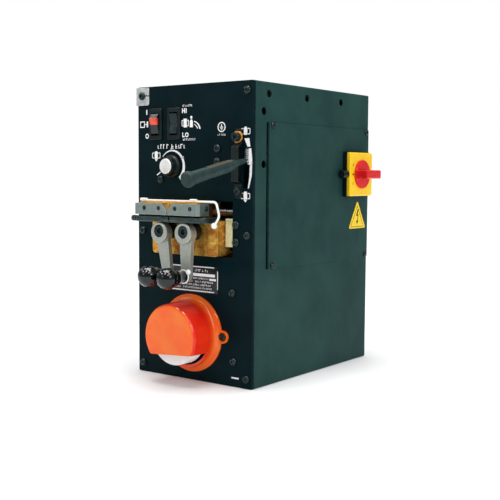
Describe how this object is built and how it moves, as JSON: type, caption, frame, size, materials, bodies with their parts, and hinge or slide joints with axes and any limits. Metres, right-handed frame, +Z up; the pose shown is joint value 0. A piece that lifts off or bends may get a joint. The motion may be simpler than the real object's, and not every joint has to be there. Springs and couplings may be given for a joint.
{
  "type": "saw blade butt welder",
  "caption": "Box-shaped bench welder that joins saw blade ends: clamp jaws with two lever handles, a weld lever, rocker switches, an isolator and a guarded grinding wheel.",
  "frame": {"origin": "centre of the cabinet's flat base", "axes": "+Z up, the front panel with the jaws faces -Y, the isolator is on the +X side"},
  "size_m": [0.2395, 0.433, 0.4],
  "materials": {
    "shell_paint": "satin fine-textured",
    "panel_paint": "satin",
    "black_screw": "black oxide",
    "zinc_sheet": "zinc plated",
    "black_label": "satin with white print",
    "black_plastic": "moulded",
    "yellow_label": "printed film",
    "yellow_plastic": "moulded",
    "red_plastic": "moulded",
    "orange_tip_key": "black with an orange band",
    "black_key": "moulded",
    "spun_aluminium": "spun",
    "plain_steel": "turned",
    "grip_plastic": "moulded",
    "spring_steel": "drawn wire",
    "black_steel": "black oxide, oiled",
    "brass": "machined, tarnished",
    "jaw_steel": "ground",
    "dark_jaw_steel": "blackened",
    "cast_steel": "machined, satin",
    "gloss_black": "polished",
    "white_plastic": "sleeving",
    "cream_insulator": "pressed board",
    "orange_plastic": "moulded",
    "white_abrasive": "vitrified grit",
    "cast_aluminium": "as cast",
    "core_steel": "varnished laminations",
    "coil_varnish": "varnished tape",
    "copper": "rolled",
    "grey_plastic": "moulded"
  },
  "bodies": {
    "cabinet": {"cabinet_shell": "shell_paint", "front_panel": "panel_paint", "panel_screws": "black_screw", "corner_clip": "zinc_sheet", "nameplate": "black_label", "side_cover": "shell_paint", "rear_cover": "shell_paint", "cover_screws": "black_screw", "cable_gland": "black_plastic", "hazard_label": "yellow_label", "isolator_body": "black_plastic", "isolator_plate": "yellow_plastic", "grinder_switch": "black_plastic", "heat_switch": "black_plastic", "weld_spring": "spring_steel", "lever_bracket": "zinc_sheet", "lever_strap": "black_steel", "strap_washer": "brass", "strap_screws": "black_screw", "limit_switch": "black_plastic", "fixed_jaw_block": "brass", "fixed_jaw_plate": "jaw_steel", "fixed_plate_screws": "black_screw", "jaw_wire": "white_plastic", "jaw_insulator": "cream_insulator", "rod_bracket": "cream_insulator", "slide_rods": "plain_steel", "guard": "orange_plastic", "grinder_motor": "cast_aluminium", "transformer_core": "core_steel", "transformer_coil": "coil_varnish", "secondary_straps": "copper", "contactor": "grey_plastic"},
    "isolator": {"isolator_knob": "red_plastic"},
    "grinder_key": {"grinder_paddle": "orange_tip_key"},
    "heat_key": {"heat_rocker": "black_key"},
    "force_control": {"force_knob": "black_plastic", "force_knob_cap": "spun_aluminium", "force_cam_shaft": "plain_steel"},
    "weld_lever": {"weld_lever_shaft": "plain_steel", "weld_lever_grip": "grip_plastic", "crank": "plain_steel"},
    "moving_jaw": {"moving_jaw_block": "brass", "moving_jaw_plate": "jaw_steel", "moving_plate_screws": "black_screw"},
    "moving_clamp": {"moving_clamp_shaft": "black_steel", "moving_clamp_arm": "cast_steel", "moving_clamp_screw": "black_screw", "moving_clamp_knob": "gloss_black"},
    "moving_bar": {"moving_clamp_bar": "dark_jaw_steel", "stub_screw": "black_steel"},
    "fixed_clamp": {"fixed_clamp_shaft": "black_steel", "fixed_clamp_arm": "cast_steel", "fixed_clamp_screw": "black_screw", "fixed_clamp_knob": "gloss_black", "knob_tie": "white_plastic"},
    "fixed_bar": {"fixed_clamp_bar": "dark_jaw_steel"},
    "wheel_spindle": {"grinder_shaft": "plain_steel", "grinding_wheel": "white_abrasive", "wheel_nut": "plain_steel"}
  },
  "joints": [
    {"name": "isolator_turn", "type": "hinge", "parent": "cabinet", "child": "isolator", "pos_m": [0.1022, 0.104, 0.281], "axis": [1, 0, 0], "range_deg": [0, 90]},
    {"name": "grinder_key_rock", "type": "hinge", "parent": "cabinet", "child": "grinder_key", "pos_m": [-0.0667, -0.1455, 0.3482], "axis": [1, 0, 0], "range_deg": [0, 14]},
    {"name": "heat_key_rock", "type": "hinge", "parent": "cabinet", "child": "heat_key", "pos_m": [-0.033, -0.1455, 0.3482], "axis": [1, 0, 0], "range_deg": [-9, 9]},
    {"name": "force_turn", "type": "hinge", "parent": "cabinet", "child": "force_control", "pos_m": [-0.0375, -0.1455, 0.2905], "axis": [0, -1, 0], "range_deg": [-270, 0]},
    {"name": "weld_lever_press", "type": "hinge", "parent": "cabinet", "child": "weld_lever", "pos_m": [0.0885, -0.0855, 0.3106], "axis": [1, 0, 0], "range_deg": [0, 16], "stiffness_Nm_per_rad": 4, "springref_deg": -20.05, "deforming": ["weld_spring"]},
    {"name": "moving_jaw_slide", "type": "slide", "parent": "cabinet", "child": "moving_jaw", "axis": [-1, 0, 0], "range_m": [0, 0.004]},
    {"name": "moving_clamp_turn", "type": "hinge", "parent": "moving_jaw", "child": "moving_clamp", "pos_m": [-0.026, -0.1455, 0.2044], "axis": [0, 1, 0], "range_deg": [0, 75]},
    {"name": "moving_bar_lift", "type": "slide", "parent": "moving_jaw", "child": "moving_bar", "axis": [0, 0, 1], "range_m": [0, 0.002]},
    {"name": "fixed_clamp_turn", "type": "hinge", "parent": "cabinet", "child": "fixed_clamp", "pos_m": [0.0164, -0.1455, 0.2044], "axis": [0, -1, 0], "range_deg": [0, 75]},
    {"name": "fixed_bar_lift", "type": "slide", "parent": "cabinet", "child": "fixed_bar", "axis": [0, 0, 1], "range_m": [0, 0.002]},
    {"name": "wheel_spin", "type": "hinge", "parent": "cabinet", "child": "wheel_spindle", "pos_m": [-0.002, -0.1455, 0.065], "axis": [0, 1, 0], "continuous": true}
  ],
  "couplings": [
    {"joint": "moving_jaw_slide", "follows": "weld_lever_press", "m_per_rad": 0.014324},
    {"joint": "moving_bar_lift", "follows": "moving_clamp_turn", "m_per_rad": 0.0015279},
    {"joint": "fixed_bar_lift", "follows": "fixed_clamp_turn", "m_per_rad": 0.0015279}
  ]
}
